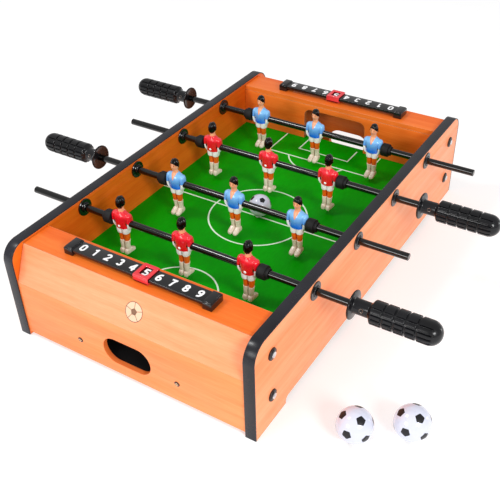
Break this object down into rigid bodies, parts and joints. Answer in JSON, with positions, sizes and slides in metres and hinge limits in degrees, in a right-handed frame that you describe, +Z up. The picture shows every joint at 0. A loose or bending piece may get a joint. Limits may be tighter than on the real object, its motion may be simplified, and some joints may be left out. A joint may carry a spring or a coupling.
{
  "type": "tabletop foosball table",
  "caption": "Tabletop foosball table with wooden side panels, goal boxes at both ends, sliding and spinning player rods, score sliders and loose balls.",
  "frame": {"origin": "on the surface the feet stand on, at the centre of the table's plan", "axes": "+X along the rods, +Y along the pitch, +Z up"},
  "size_m": [0.5782, 0.51, 0.1359],
  "materials": {
    "panel_board": "light beech-look veneer, satin",
    "inner_board": "orange beech-look veneer, satin",
    "edge_band": "satin PVC edging",
    "pitch": "printed foil, satin, white markings",
    "black_plastic": "moulded, satin",
    "red_plastic": "moulded, gloss",
    "rod_steel": "gloss black enamel",
    "grip": "moulded, fine texture",
    "rubber": "matt",
    "player_red": "painted figure, gloss",
    "player_blue": "painted figure, gloss",
    "ball": "white with black pentagons, gloss"
  },
  "bodies": {
    "root": {"side_panel_left": "panel_board", "edge_band_left": "edge_band", "side_panel_right": "panel_board", "edge_band_right": "edge_band", "pitch_board": "pitch", "goal_wall_near": "inner_board", "top_board_near": "inner_board", "sloped_board_near": "panel_board", "end_board_near": "panel_board", "ball_tray_near": "black_plastic", "score_rail_near": "black_plastic", "goal_wall_far": "inner_board", "top_board_far": "inner_board", "sloped_board_far": "panel_board", "end_board_far": "panel_board", "ball_tray_far": "black_plastic", "score_rail_far": "black_plastic", "bushing_1_left": "black_plastic", "bushing_1_right": "black_plastic", "bushing_2_left": "black_plastic", "bushing_2_right": "black_plastic", "bushing_3_left": "black_plastic", "bushing_3_right": "black_plastic", "bushing_4_left": "black_plastic", "bushing_4_right": "black_plastic"},
    "rod_1_bumpers": {"bumper_1_inner": "rubber", "bumper_1_outer": "rubber"},
    "rod_1": {"rod_1": "rod_steel", "handle_1": "grip", "player_red_1a": "player_red", "player_red_1b": "player_red", "player_red_1c": "player_red"},
    "rod_2_bumpers": {"bumper_2_inner": "rubber", "bumper_2_outer": "rubber"},
    "rod_2": {"rod_2": "rod_steel", "handle_2": "grip", "player_blue_2a": "player_blue", "player_blue_2b": "player_blue", "player_blue_2c": "player_blue"},
    "rod_3_bumpers": {"bumper_3_inner": "rubber", "bumper_3_outer": "rubber"},
    "rod_3": {"rod_3": "rod_steel", "handle_3": "grip", "player_red_3a": "player_red", "player_red_3b": "player_red", "player_red_3c": "player_red"},
    "rod_4_bumpers": {"bumper_4_inner": "rubber", "bumper_4_outer": "rubber"},
    "rod_4": {"rod_4": "rod_steel", "handle_4": "grip", "player_blue_4a": "player_blue", "player_blue_4b": "player_blue", "player_blue_4c": "player_blue"},
    "score_slider_near": {"score_slider_near": "red_plastic"},
    "score_slider_far": {"score_slider_far": "red_plastic"},
    "ball_field": {"ball_field": "ball"},
    "ball_spare_1": {"ball_spare_1": "ball"},
    "ball_spare_2": {"ball_spare_2": "ball"}
  },
  "joints": [
    {"name": "rod_1_slide", "type": "slide", "parent": "root", "child": "rod_1_bumpers", "axis": [1, 0, 0], "range_m": [-0.0251, 0.0339]},
    {"name": "rod_1_spin", "type": "hinge", "parent": "rod_1_bumpers", "child": "rod_1", "pos_m": [0, -0.14175, 0.1044], "axis": [1, 0, 0], "continuous": true},
    {"name": "rod_2_slide", "type": "slide", "parent": "root", "child": "rod_2_bumpers", "axis": [1, 0, 0], "range_m": [-0.0288, 0.0302]},
    {"name": "rod_2_spin", "type": "hinge", "parent": "rod_2_bumpers", "child": "rod_2", "pos_m": [0, -0.04725, 0.1044], "axis": [1, 0, 0], "continuous": true},
    {"name": "rod_3_slide", "type": "slide", "parent": "root", "child": "rod_3_bumpers", "axis": [1, 0, 0], "range_m": [-0.0171, 0.0419]},
    {"name": "rod_3_spin", "type": "hinge", "parent": "rod_3_bumpers", "child": "rod_3", "pos_m": [0, 0.04725, 0.1044], "axis": [1, 0, 0], "continuous": true},
    {"name": "rod_4_slide", "type": "slide", "parent": "root", "child": "rod_4_bumpers", "axis": [1, 0, 0], "range_m": [-0.0309, 0.0281]},
    {"name": "rod_4_spin", "type": "hinge", "parent": "rod_4_bumpers", "child": "rod_4", "pos_m": [0, 0.14175, 0.1044], "axis": [1, 0, 0], "continuous": true},
    {"name": "score_near_slide", "type": "slide", "parent": "root", "child": "score_slider_near", "axis": [1, 0, 0], "range_m": [-0.0781, 0.0622]},
    {"name": "score_far_slide", "type": "slide", "parent": "root", "child": "score_slider_far", "axis": [-1, 0, 0], "range_m": [-0.0781, 0.0622]},
    {"name": "ball_field_lift", "type": "slide", "parent": "root", "child": "ball_field", "axis": [0, 0, 1], "range_m": [0, 0.1]},
    {"name": "ball_spare_1_lift", "type": "slide", "parent": "root", "child": "ball_spare_1", "axis": [0, 0, 1], "range_m": [0, 0.1]},
    {"name": "ball_spare_2_lift", "type": "slide", "parent": "root", "child": "ball_spare_2", "axis": [0, 0, 1], "range_m": [0, 0.1]}
  ]
}
